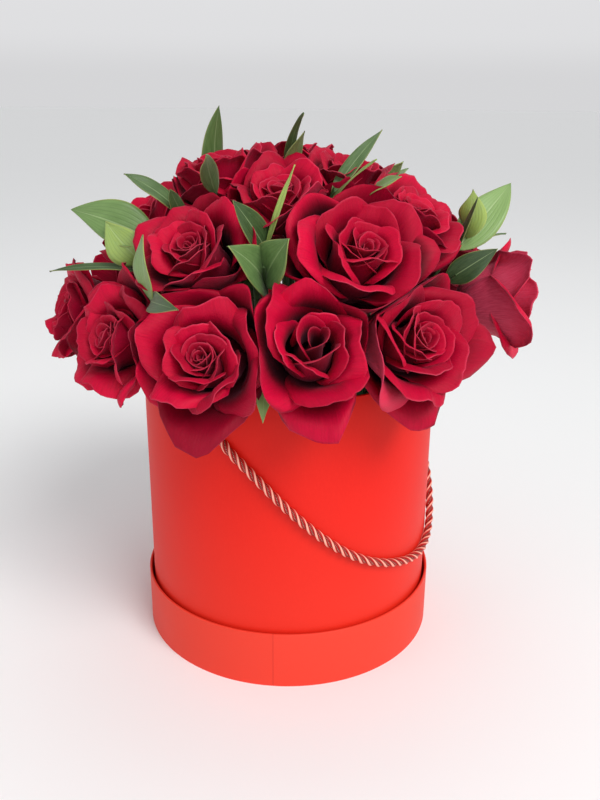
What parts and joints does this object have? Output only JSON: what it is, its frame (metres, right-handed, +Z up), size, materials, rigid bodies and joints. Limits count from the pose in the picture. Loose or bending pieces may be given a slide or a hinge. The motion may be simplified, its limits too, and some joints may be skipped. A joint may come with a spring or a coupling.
{
  "type": "flower box",
  "caption": "Round paper hat box standing in its lid, with a twisted rope handle on its side and a domed bouquet of open roses and pointed leaves above the rim.",
  "frame": {"origin": "centre of the underside of the lid's disc, which the box stands on", "axes": "+Z up along the box's axis, -Y towards the front of the picture, +X to its right"},
  "size_m": [0.3177, 0.3092, 0.3595],
  "materials": {
    "red_paper": "matte",
    "clear_film": "glossy",
    "wet_foam": "matte",
    "satin_cord": "satin",
    "petals": "velvet",
    "green_stems": "matte",
    "leaves": "satin"
  },
  "bodies": {
    "root": {"box_floor": "red_paper", "box_wall": "red_paper", "floral_foam": "wet_foam", "leafy_spray_1": "leaves", "leafy_spray_2": "leaves", "leafy_spray_3": "leaves", "leafy_spray_4": "leaves", "leafy_spray_5": "leaves", "leafy_spray_6": "leaves", "leafy_spray_7": "leaves", "lid_disc": "red_paper", "lid_rim": "red_paper", "liner_film": "clear_film", "rope_handle": "satin_cord", "rope_knot_back": "satin_cord", "rope_knot_front": "satin_cord", "rose_bloom_01": "petals", "rose_bloom_02": "petals", "rose_bloom_03": "petals", "rose_bloom_04": "petals", "rose_bloom_05": "petals", "rose_bloom_06": "petals", "rose_bloom_07": "petals", "rose_bloom_08": "petals", "rose_bloom_09": "petals", "rose_bloom_10": "petals", "rose_bloom_11": "petals", "rose_bloom_12": "petals", "rose_bloom_13": "petals", "rose_bloom_14": "petals", "rose_bloom_15": "petals", "rose_bloom_16": "petals", "rose_bloom_17": "petals", "rose_bloom_18": "petals", "rose_bloom_19": "petals", "rose_bloom_20": "petals", "rose_bloom_21": "petals", "rose_bloom_22": "petals", "rose_stem_01": "green_stems", "rose_stem_02": "green_stems", "rose_stem_03": "green_stems", "rose_stem_04": "green_stems", "rose_stem_05": "green_stems", "rose_stem_06": "green_stems", "rose_stem_07": "green_stems", "rose_stem_08": "green_stems", "rose_stem_09": "green_stems", "rose_stem_10": "green_stems", "rose_stem_11": "green_stems", "rose_stem_12": "green_stems", "rose_stem_13": "green_stems", "rose_stem_14": "green_stems", "rose_stem_15": "green_stems", "rose_stem_16": "green_stems", "rose_stem_17": "green_stems", "rose_stem_18": "green_stems", "rose_stem_19": "green_stems", "rose_stem_20": "green_stems", "rose_stem_21": "green_stems", "rose_stem_22": "green_stems"}
  },
  "joints": []
}
